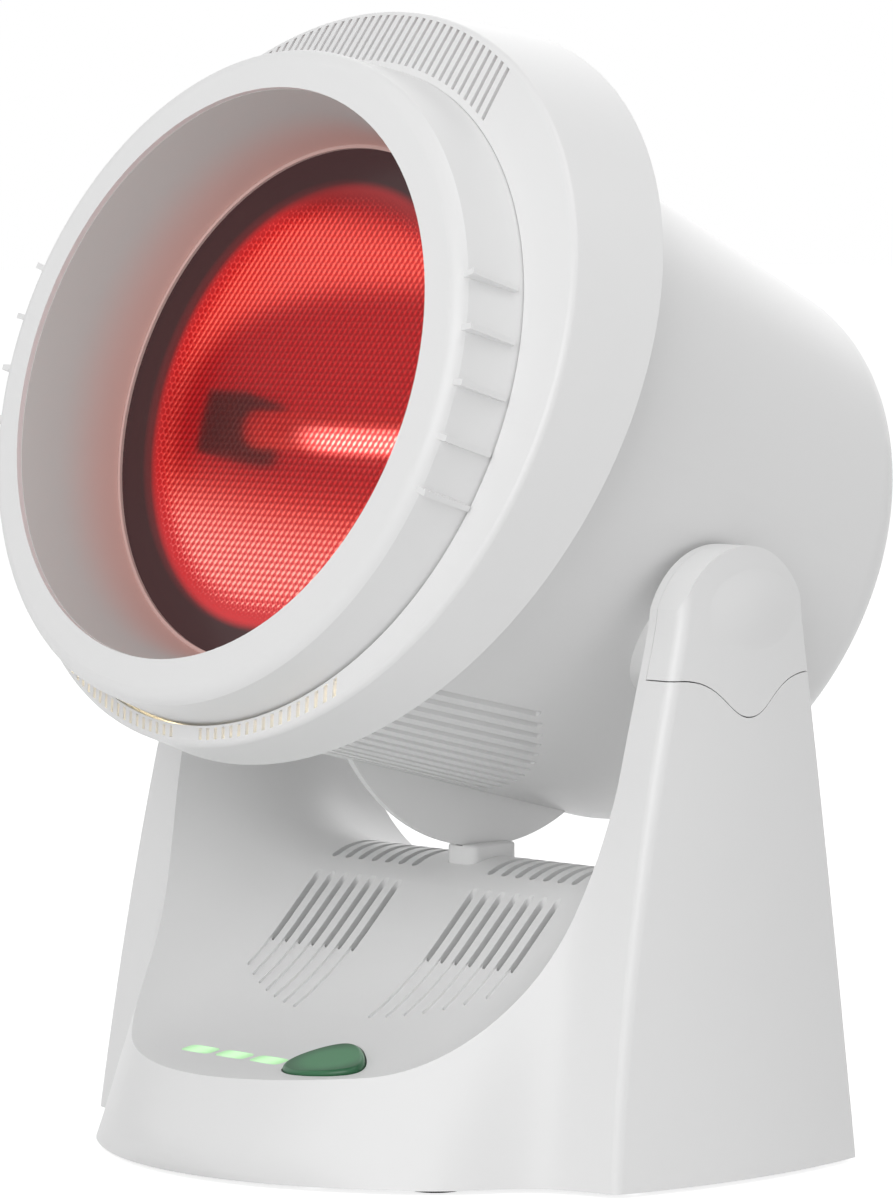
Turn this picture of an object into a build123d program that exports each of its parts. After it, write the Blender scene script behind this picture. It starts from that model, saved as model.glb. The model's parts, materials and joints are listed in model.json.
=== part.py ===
"""Infrared heat therapy lamp: a drum-shaped head that tilts between the arms of a U-shaped base.

Millimetres. +Z is up, the lamp faces -Y, and +X is on the right of someone who sits in front
of it. The origin is on the table, straight below the tilt axis. The head is drawn on its own
plane: along runs forward from the tilt axis, rise runs up from it, square to the head.
"""
from build123d import *
from math import cos, exp, radians, sin, sqrt
import os

os.makedirs("parts", exist_ok=True)

# ---------------------------------------------------------------------------------------------
# Driving dimensions: head
TILT_HEIGHT = 133.7  # tilt axis above the table
REST_TILT = 16.8  # the head as drawn: halfway up its travel
TILT_TRAVEL = 16.8  # each way from there
LIP_ALONG = 108.6  # front of the rounded lip
LIP_INNER_RADIUS = 73.8
LIP_OUTER_RADIUS = 80.9
COLLAR_FRONT_ALONG = 104.7
COLLAR_FRONT_RADIUS = 84.8
COLLAR_BACK_ALONG = 89.0  # where the collar meets the big ring
COLLAR_BACK_RADIUS = 86.4
COLLAR_RISE = 37.4  # lip, collar and filter share this centre line
COLLAR_LEAN = 2.4
RIB_PITCH_ANGLE = 9.2
RIB_COUNT = 5
RIB_WIDTH = 1.5
RIB_FOOT_ALONG = 90.5  # the ribs run from here to the lip
RIB_HEIGHT = 1.1
RING_FRONT_ALONG = 85.1
RING_FRONT_RADIUS = 97.7
RING_FRONT_RISE = 43.2
RING_FRONT_LEAN = 3.6
RING_BACK_ALONG = 61.2
RING_BACK_RADIUS = 101.7
RING_BACK_RISE = 45.5
RING_BACK_LEAN = 7.7
RING_SHOULDER = 2.0  # rounding between the ring's face and its wall
BARREL_BACK_ALONG = -68.4
BARREL_FRONT_RADIUS = 88.4
BARREL_BACK_RADIUS = 75.2
BARREL_FRONT_RISE = 40.3
BARREL_BACK_RISE = 35.1
BARREL_BACK_LEAN = 4.4
BARREL_BACK_ROUNDING = 13.3
HEAD_WALL = 2.4
GLASS_RADIUS = 68.9
GLASS_THICKNESS = 4.0
GLASS_ALONG = 78.1  # front face of the filter glass
SEAL_LIP = 1.8  # how far the seal laps over the glass
SEAL_THICKNESS = 1.6
LINER_THICKNESS = 1.6
REFLECTOR_DEPTH = 62.0
REFLECTOR_RADIUS = 66.5
REFLECTOR_GAUGE = 0.9
FLANGE_RADIUS = 71.0
BRACKET_GAUGE = 1.2
TUBE_ALONG = 47.0  # axis of the halogen tube
TUBE_RADIUS = 5.0
TUBE_LENGTH = 116.0
HOLDER_SIZE = 17.0
HOLDER_LENGTH = 18.5
TUBE_ENGAGEMENT = 8.0  # how far the tube's ends sit in their holders
BRACKET_GAP = 5.0  # between the bowl and the bar behind it
CUTOUT_RADIUS = 6.0
CUTOUT_HEIGHT = 5.0
TERMINAL_LENGTH = 36.0
SECTOR_RADIUS = 58.1
SECTOR_THICKNESS = 1.9

# Driving dimensions: vents
SLOT_BACK_ALONG = 75.4  # the slots are cut back to here, through the ring's face
TOP_SLOT_WIDTH = 1.1
TOP_SLOT_PITCH = 2.78
TOP_SLOT_COUNT = 38
TOP_SLOT_INNER_RADIUS = 88.5  # the slots lie in a crescent between two circles
TOP_SLOT_OUTER_RADIUS = 94.5
TOP_SLOT_OUTER_RISE = 45.0
LOW_SLOT_COUNT = 17  # in each of the two rows under the lip
LOW_SLOT_START = 5.6
LOW_SLOT_INNER_RADIUS = 87.4
LOW_SLOT_OUTER_RADIUS = 96.0
GROOVE_STEP_ANGLE = 3.0  # grooves under the barrel
GROOVE_COUNT = 13  # on each side of the middle
GROOVE_WIDTH = 1.7
GROOVE_DEPTH = 1.0
GROOVE_START = 76.0
GROOVE_END = -7.0
GROOVE_END_CURVE = 0.02  # the grooves grow shorter away from the middle
BACK_SLOT_RADIUS = 40.0
BACK_SLOT_PITCH = 6.0
BACK_SLOT_WIDTH = 2.0
DECK_SLOT_START = 14.4  # middle of the innermost slot
DECK_SLOT_PITCH = 5.2
DECK_SLOT_COUNT = 7
DECK_SLOT_WIDTH = 2.3
DECK_SLOT_TOP = -17.2
DECK_SLOT_FOOT = -34.2
DECK_GROOVE_FOOT = -55.6
DECK_GROOVE_DEPTH = 0.9
CREST_SLOT_FRONT = -12.9
CREST_SLOT_BACK = 8.0

# Driving dimensions: base
BASE_CLEARANCE = 1.2  # the shell's lower edge above the table
SIDE_HALF_WIDTH = 104.0
SIDE_DRAFT = 0.0896
SIDE_CURL = 0.000163
SIDE_CROWN_RADIUS = 175.0
SIDE_CROWN_Y = -8.0
ARM_FRONT = -49.8
ARM_BACK = 37.4
BOW_RADIUS = 89.0  # apron, seen from above
BOW_FRONT = -106.0
BOW_EDGE = 72.0  # from here the apron sweeps back into the arms
DECK_FOOT_Y = -53.0  # where the lines of the low front and of the slope would meet
DECK_FOOT_HEIGHT = 31.4
DECK_FRONT_SLOPE = 0.13
DECK_SWEEP = 95.0
CREST_Y = -7.0  # where the lines of the slope and of the back would meet
CREST_HEIGHT = 76.9
CREST_SWEEP = 24.0
DECK_BACK_SLOPE = 0.362
CAP_RADIUS = 24.0
ARM_INNER = 82.7  # half the gap between the arms
ARM_EDGE_ROUNDING = 3.0
GAP_CORNER = 38.0  # sweep of the deck up into the arms
BASE_WALL = 2.5
SEAM_SIDE_DROP = 8.4  # cap seam below the tilt axis, at the edges of the arm
SEAM_DIP = 10.1
SEAM_HALF_WIDTH = 24.0
SEAM_GAP = 0.3
PLATE_THICKNESS = 2.5
LABEL_LENGTH = 64.0  # shallow recess in the underside for a rating label
LABEL_WIDTH = 34.0
LABEL_DEPTH = 0.4
FOOT_RADIUS = 7.0
BALLAST_LENGTH = 120.0
BALLAST_WIDTH = 46.0
BALLAST_THICKNESS = 4.0
BALLAST_Y = -22.0
BUTTON_TRAVEL = 1.0
BUTTON_PROUD = 1.6
BUTTON_THICKNESS = 5.0
BUTTON_ROUNDING = 1.1
WINDOW_LENGTH = 11.0
WINDOW_WIDTH = 4.8
WINDOW_PITCH = 13.2
WINDOW_COUNT = 3
WINDOW_X = -6.6
WINDOW_Y = -81.3
BOARD_THICKNESS = 1.6
BOARD_HEIGHT = 11.0
GUIDE_WIDTH = 10.8
GUIDE_LENGTH = 16.3
GUIDE_Y = -1.9
GUIDE_DEPTH = 12.0  # how far the block reaches below its top
GUIDE_TOP = 76.5
GLAND_RADIUS = 7.5
GLAND_BORE = 3.4
GLAND_HEIGHT = 16.0
GLAND_LENGTH = 14.0
GLAND_FLANGE = 1.6
POST_RADIUS = 5.0
POST_HEIGHT = 20.0
BOARD_LENGTH = 92.0
BOARD_WIDTH = 27.0
BOARD_X = 3.0
BOARD_Y = -70.0
BUTTON_X = 26.0
BUTTON_Y = -78.0
SPRING_RADIUS = 4.0
SPRING_WIRE = 0.7
SWITCH_DROP = 1.9  # the switch's top below the end of the button's stem
PLUNGER_RADIUS = 1.5

# Driving dimensions: pivots
HUB_RADIUS = 15.0
SHAFT_RADIUS = 6.0
SHAFT_FLANGE = 10.0
BUSH_RADIUS = 8.0
BUSH_LENGTH = 5.4
BUSH_FLANGE = 10.5
BUSH_FLANGE_THICKNESS = 1.2
NUT_WIDTH = 16.0
NUT_THICKNESS = 2.4
WASHER_RADIUS = 9.0
WASHER_THICKNESS = 0.5
STOP_PIN_RADIUS = 1.4
STOP_RADIUS = 12.6
STOP_SLACK = 1.5  # degrees of play beyond the travel
SCREW_RADIUS = 1.5
SCREW_HEAD_RADIUS = 2.8
SCREW_HEAD_HEIGHT = 2.0

# Clearances
FIT = 0.1  # pieces that are pushed together
RUNNING = 0.05  # shaft in its bush
MOVING = 0.3  # pieces that move past each other
BUTTON_GAP = 0.4


# ---------------------------------------------------------------------------------------------
# Planes of the head
def turned(vector_y, vector_z):
    """A direction of the level head, tilted to where the head is drawn."""
    tilt = radians(REST_TILT)
    return (0, vector_y * cos(tilt) + vector_z * sin(tilt), vector_z * cos(tilt) - vector_y * sin(tilt))


TILT_AXIS = Axis((0, 0, TILT_HEIGHT), (1, 0, 0))
HEAD = Plane(origin=TILT_AXIS.position, x_dir=(1, 0, 0), z_dir=turned(-1, 0))


def station(along, rise=0.0, lean=0.0):
    """Plane across the head, its top leaned back by lean degrees."""
    middle = HEAD.from_local_coords(Vector(0, rise, along))
    return Plane(origin=middle, x_dir=HEAD.x_dir, z_dir=HEAD.z_dir.rotate(Axis.X, -lean))


# The half section of the round front pieces: local x is along, local y the radius.
COLLAR_CENTRE = HEAD.from_local_coords(Vector(0, COLLAR_RISE, 0))
COLLAR_AXIS = Axis(COLLAR_CENTRE, HEAD.z_dir)
COLLAR_SECTION = Plane(origin=COLLAR_CENTRE, x_dir=HEAD.z_dir, z_dir=(-1, 0, 0))
# The head seen from its left: local x is along, local y the rise from the tilt axis.
HEAD_SIDE = Plane(origin=TILT_AXIS.position, x_dir=HEAD.z_dir, z_dir=(-1, 0, 0))


def disc(plane, radius):
    """Round section on a plane."""
    with BuildSketch(plane) as section:
        Circle(radius)
    return section.sketch


def spread(count, pitch):
    """Positions of count pieces, pitch apart, about zero."""
    return [(place - (count - 1) / 2) * pitch for place in range(count)]


# The barrel's front end bears on the back plate of the big ring.
ring_lean_sine = sin(radians(RING_BACK_LEAN))
ring_lean_cosine = cos(radians(RING_BACK_LEAN))
barrel_front_along = (
    RING_BACK_ALONG
    + (RING_BACK_RISE - BARREL_FRONT_RISE) * ring_lean_sine / ring_lean_cosine
    + (2 * HEAD_WALL + FIT) / ring_lean_cosine
)
# The tail of the collar passes inside the barrel's front end.
barrel_front_reach = (BARREL_FRONT_RADIUS - HEAD_WALL) * ring_lean_cosine
spigot_radius = barrel_front_reach - (BARREL_FRONT_RISE - COLLAR_RISE) - 4 * MOVING
collar_slope = (COLLAR_BACK_RADIUS - COLLAR_FRONT_RADIUS) / (COLLAR_FRONT_ALONG - COLLAR_BACK_ALONG)
collar_tail = COLLAR_BACK_ALONG - COLLAR_BACK_RADIUS * sin(radians(COLLAR_LEAN)) - FIT
collar_tail_radius = COLLAR_BACK_RADIUS + collar_slope * (COLLAR_BACK_ALONG - collar_tail)

# ---------------------------------------------------------------------------------------------
# Front ring: the rounded lip and the collar with its grip ribs
spigot_back = GLASS_ALONG - GLASS_THICKNESS - SEAL_THICKNESS / 2
spigot_end = spigot_back - REFLECTOR_GAUGE
spigot_wall = HEAD_WALL
with BuildPart() as front_ring:
    with BuildSketch(COLLAR_SECTION):
        with BuildLine():
            lip_face = Line((LIP_ALONG - LINER_THICKNESS, LIP_INNER_RADIUS), (LIP_ALONG, LIP_INNER_RADIUS))
            lip_top = Line(lip_face @ 1, (LIP_ALONG - 0.9, LIP_OUTER_RADIUS))
            shoulder = (COLLAR_FRONT_ALONG, COLLAR_FRONT_RADIUS)
            TangentArc(lip_top @ 1, shoulder, tangent=lip_top % 1)
            Polyline(
                shoulder,
                (collar_tail, collar_tail_radius),
                (collar_tail, spigot_radius),
                (spigot_end, spigot_radius),
                (spigot_end, spigot_radius - spigot_wall),
                (COLLAR_FRONT_ALONG - 1, spigot_radius - spigot_wall),
                (LIP_ALONG - LINER_THICKNESS, LIP_OUTER_RADIUS - 2),
                lip_face @ 0,
            )
        make_face()
    revolve(axis=COLLAR_AXIS)
    # grip ribs, in two rows that mirror each other
    rib_length = COLLAR_FRONT_ALONG + RIB_HEIGHT - RIB_FOOT_ALONG
    rib_base = spigot_radius - spigot_wall / 2
    rib_depth = COLLAR_BACK_RADIUS + RIB_HEIGHT - rib_base
    rib_plane = station(RIB_FOOT_ALONG, COLLAR_RISE)
    with BuildSketch(rib_plane):
        for rib_angle in spread(RIB_COUNT, RIB_PITCH_ANGLE):
            for middle in (0, 180):
                with PolarLocations(rib_base, 1, start_angle=middle + rib_angle):
                    Rectangle(rib_depth, RIB_WIDTH, align=(Align.MIN, Align.CENTER))
    extrude(amount=rib_length)

# Liner: the tapered funnel between the lip and the filter
liner_back = GLASS_ALONG + SEAL_THICKNESS / 2 + FIT
liner_back_radius = GLASS_RADIUS - SEAL_LIP + 0.9
with BuildPart() as visor_liner:
    with BuildSketch(COLLAR_SECTION):
        with BuildLine():
            Polyline(
                (LIP_ALONG - LINER_THICKNESS, LIP_INNER_RADIUS - FIT),
                (liner_back, liner_back_radius),
                (liner_back, liner_back_radius + LINER_THICKNESS),
                (LIP_ALONG - 2 * LINER_THICKNESS, LIP_INNER_RADIUS + LINER_THICKNESS),
                (LIP_ALONG - 2 * LINER_THICKNESS, LIP_OUTER_RADIUS - 3),
                (LIP_ALONG - LINER_THICKNESS, LIP_OUTER_RADIUS - 3),
                close=True,
            )
        make_face()
    revolve(axis=COLLAR_AXIS)

# Filter glass and the seal that seats it
glass_back = GLASS_ALONG - GLASS_THICKNESS
with BuildPart() as filter_glass:
    with BuildSketch(station(glass_back, COLLAR_RISE)):
        Circle(GLASS_RADIUS)
    extrude(amount=GLASS_THICKNESS)
    chamfer(filter_glass.edges().filter_by(GeomType.CIRCLE), length=0.6)

seal_front = GLASS_ALONG + SEAL_THICKNESS / 2
with BuildPart() as glass_seal:
    with BuildSketch(COLLAR_SECTION):
        with BuildLine():
            Polyline(
                (GLASS_ALONG, GLASS_RADIUS - SEAL_LIP),
                (seal_front, GLASS_RADIUS - SEAL_LIP),
                (seal_front, GLASS_RADIUS + SEAL_THICKNESS),
                (spigot_back, GLASS_RADIUS + SEAL_THICKNESS),
                (spigot_back, GLASS_RADIUS),
                (GLASS_ALONG, GLASS_RADIUS),
                close=True,
            )
        make_face()
    revolve(axis=COLLAR_AXIS)

# ---------------------------------------------------------------------------------------------
# Head ring: the big eccentric ring with the vent slots in its sloping face
collar_plane = station(COLLAR_BACK_ALONG, COLLAR_RISE, COLLAR_LEAN)
ring_front_plane = station(RING_FRONT_ALONG, RING_FRONT_RISE, RING_FRONT_LEAN)
ring_back_plane = station(RING_BACK_ALONG, RING_BACK_RISE, RING_BACK_LEAN)
barrel_front_plane = station(barrel_front_along, BARREL_FRONT_RISE, RING_BACK_LEAN)
barrel_back_plane = station(BARREL_BACK_ALONG, BARREL_BACK_RISE, BARREL_BACK_LEAN)


def barrel_at(along):
    """Radius and rise of the barrel at a station."""
    share = (along - BARREL_BACK_ALONG) / (barrel_front_along - BARREL_BACK_ALONG)
    radius = BARREL_BACK_RADIUS + share * (BARREL_FRONT_RADIUS - BARREL_BACK_RADIUS)
    rise = BARREL_BACK_RISE + share * (BARREL_FRONT_RISE - BARREL_BACK_RISE)
    return radius, rise


def barrel_form(inset=0.0, front_shift=0.0, back_shift=0.0):
    """The barrel's cone, drawn in by inset, with its ends moved forward by their shifts."""
    front = disc(barrel_front_plane.offset(front_shift), BARREL_FRONT_RADIUS - inset)
    back = disc(barrel_back_plane.offset(back_shift), BARREL_BACK_RADIUS - inset)
    with BuildPart() as form:
        loft([back, front])
        back_edge = form.edges().filter_by(GeomType.CIRCLE).sort_by(SortBy.RADIUS)[0]
        fillet(back_edge, radius=BARREL_BACK_ROUNDING - inset)
    return form.part


with BuildPart() as ring_form:
    loft(
        [
            disc(ring_back_plane, RING_BACK_RADIUS),
            disc(ring_front_plane, RING_FRONT_RADIUS),
            disc(collar_plane, COLLAR_BACK_RADIUS + FIT),
        ],
        ruled=True,
    )
    shoulder_edge = ring_form.edges().filter_by(GeomType.CIRCLE).sort_by(SortBy.RADIUS)[1]
    fillet(shoulder_edge, radius=RING_SHOULDER)

with BuildPart() as ring_hollow:
    loft(
        [
            disc(ring_back_plane.offset(HEAD_WALL), RING_BACK_RADIUS - HEAD_WALL),
            disc(ring_front_plane.offset(-HEAD_WALL), RING_FRONT_RADIUS - HEAD_WALL),
            disc(collar_plane.offset(-HEAD_WALL), spigot_radius),
        ],
        ruled=True,
    )

slot_plane = station(COLLAR_FRONT_ALONG, 0)
slot_depth = COLLAR_FRONT_ALONG - SLOT_BACK_ALONG
with BuildPart() as head_ring:
    add(ring_form.part)
    add(ring_hollow.part, mode=Mode.SUBTRACT)
    add(barrel_form(-FIT), mode=Mode.SUBTRACT)
    with BuildSketch(station(collar_tail, COLLAR_RISE)):
        Circle(spigot_radius + FIT)
    extrude(amount=2 * HEAD_WALL, both=True, mode=Mode.SUBTRACT)
    with BuildSketch(station(collar_tail, COLLAR_RISE)):
        Circle(collar_tail_radius + FIT)
    extrude(amount=COLLAR_FRONT_ALONG - collar_tail, mode=Mode.SUBTRACT)
    # slots over the top
    with BuildSketch(slot_plane) as top_slots:
        with Locations((0, TOP_SLOT_OUTER_RISE)):
            Circle(TOP_SLOT_OUTER_RADIUS)
        with Locations((0, COLLAR_RISE)):
            Circle(TOP_SLOT_INNER_RADIUS, mode=Mode.SUBTRACT)
        with BuildSketch(mode=Mode.INTERSECT):
            slot_places = [(x, TOP_SLOT_OUTER_RISE) for x in spread(TOP_SLOT_COUNT, TOP_SLOT_PITCH)]
            with Locations(*slot_places):
                Rectangle(TOP_SLOT_WIDTH, RING_BACK_RADIUS, align=(Align.CENTER, Align.MIN))
    extrude(amount=-slot_depth, mode=Mode.SUBTRACT)
    # two rows under the lip
    with BuildSketch(slot_plane) as low_slots:
        with Locations((0, RING_FRONT_RISE)):
            Circle(LOW_SLOT_OUTER_RADIUS)
        with Locations((0, COLLAR_RISE)):
            Circle(LOW_SLOT_INNER_RADIUS, mode=Mode.SUBTRACT)
        with BuildSketch(mode=Mode.INTERSECT):
            rows = [LOW_SLOT_START + place * TOP_SLOT_PITCH for place in range(LOW_SLOT_COUNT)]
            with Locations(*[(side * x, 0) for x in rows for side in (-1, 1)]):
                Rectangle(TOP_SLOT_WIDTH, RING_BACK_RADIUS, align=(Align.CENTER, Align.MAX))
    extrude(amount=-slot_depth, mode=Mode.SUBTRACT)

# ---------------------------------------------------------------------------------------------
# Rear housing: the barrel, with its rounded back, grooves and pivot hubs
hub_face = ARM_INNER - MOVING
hub_radius_there, hub_rise_there = barrel_at(0)
hub_root = sqrt(hub_radius_there**2 - (hub_rise_there + HUB_RADIUS) ** 2) - HEAD_WALL
flange_radius = RING_BACK_RADIUS - HEAD_WALL - (RING_BACK_RISE - BARREL_FRONT_RISE) - 5 * MOVING
sector_top = SECTOR_RADIUS * 0.63


def grooves():
    """Bars as wide as the grooves, where they cut into the underside of the barrel."""
    below = Plane(origin=HEAD.from_local_coords(Vector(0, -SECTOR_RADIUS, 0)), x_dir=(1, 0, 0), z_dir=HEAD.y_dir)
    with BuildPart() as bars:
        with BuildSketch(below):
            for place in range(1, GROOVE_COUNT + 1):
                angle = place * GROOVE_STEP_ANGLE
                across = hub_radius_there * sin(radians(angle))
                foot = GROOVE_END + GROOVE_END_CURVE * angle**2
                with Locations((across, -(GROOVE_START + foot) / 2), (-across, -(GROOVE_START + foot) / 2)):
                    SlotOverall(GROOVE_START - foot, GROOVE_WIDTH, rotation=90)
        extrude(amount=SECTOR_RADIUS)
        add(barrel_form(GROOVE_DEPTH), mode=Mode.SUBTRACT)
    return bars.part


def sector_plate(grow=0.0):
    """Segment of a disc about the tilt axis, cut off straight inside the barrel."""
    with BuildPart() as plate:
        with BuildSketch(HEAD_SIDE):
            Circle(SECTOR_RADIUS + grow)
            with Locations((0, grow - sector_top)):
                Rectangle(3 * SECTOR_RADIUS, 2 * SECTOR_RADIUS, align=(Align.CENTER, Align.MIN), mode=Mode.SUBTRACT)
        extrude(amount=SECTOR_THICKNESS / 2 + grow, both=True)
    return plate.part


with BuildPart() as rear_housing:
    add(barrel_form())
    with BuildSketch(barrel_front_plane.offset(-HEAD_WALL)):
        Circle(flange_radius)
    extrude(amount=HEAD_WALL)
    add(barrel_form(HEAD_WALL, HEAD_WALL, HEAD_WALL), mode=Mode.SUBTRACT)
    # hubs that face the arms, each with its bore and a stop pin
    for side in (-1, 1):
        hub_plane = Plane(origin=(side * hub_root, 0, TILT_HEIGHT), x_dir=HEAD.y_dir, z_dir=(side, 0, 0))
        with BuildSketch(hub_plane):
            Circle(HUB_RADIUS)
        extrude(amount=hub_face - hub_root)
        with BuildSketch(hub_plane):
            Circle(SHAFT_RADIUS + FIT)
        extrude(amount=hub_face - hub_root, mode=Mode.SUBTRACT)
        with BuildSketch(hub_plane.offset(hub_face - hub_root - 1)):
            with Locations((STOP_RADIUS, 0)):
                Circle(STOP_PIN_RADIUS)
        extrude(amount=1 + MOVING + BASE_WALL)
    add(grooves(), mode=Mode.SUBTRACT)
    add(sector_plate(FIT), mode=Mode.SUBTRACT)
    # vents in the back
    with BuildSketch(barrel_back_plane):
        Circle(BACK_SLOT_RADIUS)
        with BuildSketch(mode=Mode.INTERSECT):
            back_places = spread(round(2 * BACK_SLOT_RADIUS / BACK_SLOT_PITCH) - 1, BACK_SLOT_PITCH)
            with Locations(*[(x, 0) for x in back_places]):
                Rectangle(BACK_SLOT_WIDTH, 2 * BACK_SLOT_RADIUS)
    extrude(amount=2 * HEAD_WALL, both=True, mode=Mode.SUBTRACT)

with BuildPart() as tilt_sector:
    add(sector_plate())

# Screws that hold the barrel's flange to the back plate of the ring
with BuildPart() as head_screws:
    screw_circle = (flange_radius + BARREL_FRONT_RADIUS) / 2
    with BuildSketch(barrel_front_plane):
        with PolarLocations(screw_circle, 4, start_angle=45):
            Circle(SCREW_HEAD_RADIUS)
    extrude(amount=SCREW_HEAD_HEIGHT)

# ---------------------------------------------------------------------------------------------
# Lamp inside the head: dimpled bowl, halogen tube, its holders and the frame that carries them
bowl_front = spigot_back
bowl_back = bowl_front - REFLECTOR_GAUGE
strap_x = TUBE_LENGTH / 2 - TUBE_ENGAGEMENT + HOLDER_LENGTH

def bowl_form(depth, radius):
    """Half of an ellipsoid behind the filter."""
    with BuildPart() as bowl:
        with BuildSketch(COLLAR_SECTION):
            with BuildLine():
                turns = [radians(step * 15) for step in range(7)]
                curve = Spline(
                    *[(bowl_front - depth * sin(turn), radius * cos(turn)) for turn in turns],
                    tangents=[(-1, 0), (0, -1)],
                )
                Polyline((bowl_front - depth, 0), (bowl_front, 0), (bowl_front, radius))
            make_face()
        revolve(axis=COLLAR_AXIS)
    return bowl.part


with BuildPart() as reflector:
    add(bowl_form(REFLECTOR_DEPTH, REFLECTOR_RADIUS))
    add(bowl_form(REFLECTOR_DEPTH - REFLECTOR_GAUGE, REFLECTOR_RADIUS - REFLECTOR_GAUGE), mode=Mode.SUBTRACT)
    with BuildSketch(station(bowl_back, COLLAR_RISE)):
        Circle(FLANGE_RADIUS)
        Circle(REFLECTOR_RADIUS - REFLECTOR_GAUGE, mode=Mode.SUBTRACT)
    extrude(amount=REFLECTOR_GAUGE)
    # openings for the holders
    with BuildSketch(station(TUBE_ALONG, COLLAR_RISE)):
        for side in (-1, 1):
            with Locations((side * strap_x, 0)):
                Rectangle(2 * HOLDER_LENGTH + 2 * FIT, HOLDER_SIZE + 2 * FIT)
    extrude(amount=HOLDER_SIZE / 2 + FIT, both=True, mode=Mode.SUBTRACT)

tube_centre = HEAD.from_local_coords(Vector(0, COLLAR_RISE, TUBE_ALONG))
with BuildPart() as halogen_tube:
    with BuildSketch(Plane(origin=tube_centre, x_dir=HEAD.z_dir, z_dir=(1, 0, 0))):
        Circle(TUBE_RADIUS)
    extrude(amount=TUBE_LENGTH / 2, both=True)
    fillet(halogen_tube.edges().filter_by(GeomType.CIRCLE), radius=TUBE_RADIUS / 2)


def lamp_holder(side):
    """Ceramic block on the frame's strap, with a pocket for the end of the tube."""
    outer_end = Plane(
        origin=tube_centre + Vector(side * strap_x, 0, 0), x_dir=HEAD.z_dir, z_dir=(-side, 0, 0)
    )
    with BuildPart() as holder:
        with BuildSketch(outer_end):
            RectangleRounded(HOLDER_SIZE, HOLDER_SIZE, radius=2)
        extrude(amount=HOLDER_LENGTH)
        with BuildSketch(outer_end.offset(HOLDER_LENGTH)):
            Circle(TUBE_RADIUS + FIT)
        extrude(amount=-TUBE_ENGAGEMENT - FIT, mode=Mode.SUBTRACT)
    return holder.part


with BuildPart() as lamp_holder_right:
    add(lamp_holder(1))
with BuildPart() as lamp_holder_left:
    add(lamp_holder(-1))

bracket_back = bowl_front - REFLECTOR_DEPTH - BRACKET_GAP
with BuildPart() as reflector_bracket:
    with BuildSketch(station(bowl_back - BRACKET_GAUGE, COLLAR_RISE)):
        Circle(spigot_radius)
        Circle(strap_x - FIT, mode=Mode.SUBTRACT)
    extrude(amount=BRACKET_GAUGE)
    with BuildSketch(station(bowl_back, COLLAR_RISE)):
        for side in (-1, 1):
            with Locations((side * (strap_x + BRACKET_GAUGE / 2), 0)):
                Rectangle(BRACKET_GAUGE, HOLDER_SIZE + 3)
    extrude(amount=bracket_back - bowl_back)
    with BuildSketch(station(bracket_back, COLLAR_RISE)):
        Rectangle(2 * (strap_x + BRACKET_GAUGE), HOLDER_SIZE + 3)
    extrude(amount=BRACKET_GAUGE)

cutout_centre = HEAD.from_local_coords(Vector(-strap_x - BRACKET_GAUGE, COLLAR_RISE, TUBE_ALONG))
with BuildPart() as thermal_cutout:
    with BuildSketch(Plane(origin=cutout_centre, x_dir=HEAD.z_dir, z_dir=(-1, 0, 0))):
        Circle(CUTOUT_RADIUS)
    extrude(amount=CUTOUT_HEIGHT)

with BuildPart() as terminal_block:
    with BuildSketch(station(bracket_back, COLLAR_RISE)):
        Rectangle(TERMINAL_LENGTH, HOLDER_SIZE)
    extrude(amount=-HOLDER_SIZE / 2)
    with BuildSketch(station(bracket_back - HOLDER_SIZE / 2, COLLAR_RISE)):
        with Locations(*[(x, 0) for x in spread(3, TERMINAL_LENGTH / 3)]):
            Circle(TERMINAL_LENGTH / 12)
    extrude(amount=HOLDER_SIZE / 4, mode=Mode.SUBTRACT)

# ---------------------------------------------------------------------------------------------
# Pivots: a flanged shaft through each hub, a bush in the arm, a spring washer and a nut
bush_end = ARM_INNER + BUSH_LENGTH
nut_start = bush_end + 2 * RUNNING + WASHER_THICKNESS


def pivot_plane(side, across):
    """Plane across the tilt axis at a distance from the middle, facing outwards."""
    return Plane(origin=(side * across, 0, TILT_HEIGHT), x_dir=HEAD.y_dir, z_dir=(side, 0, 0))


def pivot_shaft(side):
    with BuildPart() as shaft:
        with BuildSketch(pivot_plane(side, hub_root)):
            Circle(SHAFT_FLANGE)
        extrude(amount=-BUSH_FLANGE_THICKNESS)
        with BuildSketch(pivot_plane(side, hub_root)):
            Circle(SHAFT_RADIUS)
        extrude(amount=nut_start + NUT_THICKNESS - hub_root)
    return shaft.part


def pivot_bush(side):
    with BuildPart() as bush:
        with BuildSketch(pivot_plane(side, ARM_INNER)):
            Circle(BUSH_RADIUS)
        extrude(amount=BUSH_LENGTH)
        with BuildSketch(pivot_plane(side, ARM_INNER + BASE_WALL)):
            Circle(BUSH_FLANGE)
        extrude(amount=BUSH_FLANGE_THICKNESS)
        with BuildSketch(pivot_plane(side, ARM_INNER)):
            Circle(SHAFT_RADIUS + RUNNING)
        extrude(amount=BUSH_LENGTH, mode=Mode.SUBTRACT)
    return bush.part


def friction_washer(side):
    with BuildPart() as washer:
        with BuildSketch(pivot_plane(side, bush_end + RUNNING)):
            Circle(WASHER_RADIUS)
            Circle(SHAFT_RADIUS + RUNNING, mode=Mode.SUBTRACT)
        extrude(amount=WASHER_THICKNESS)
    return washer.part


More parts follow.
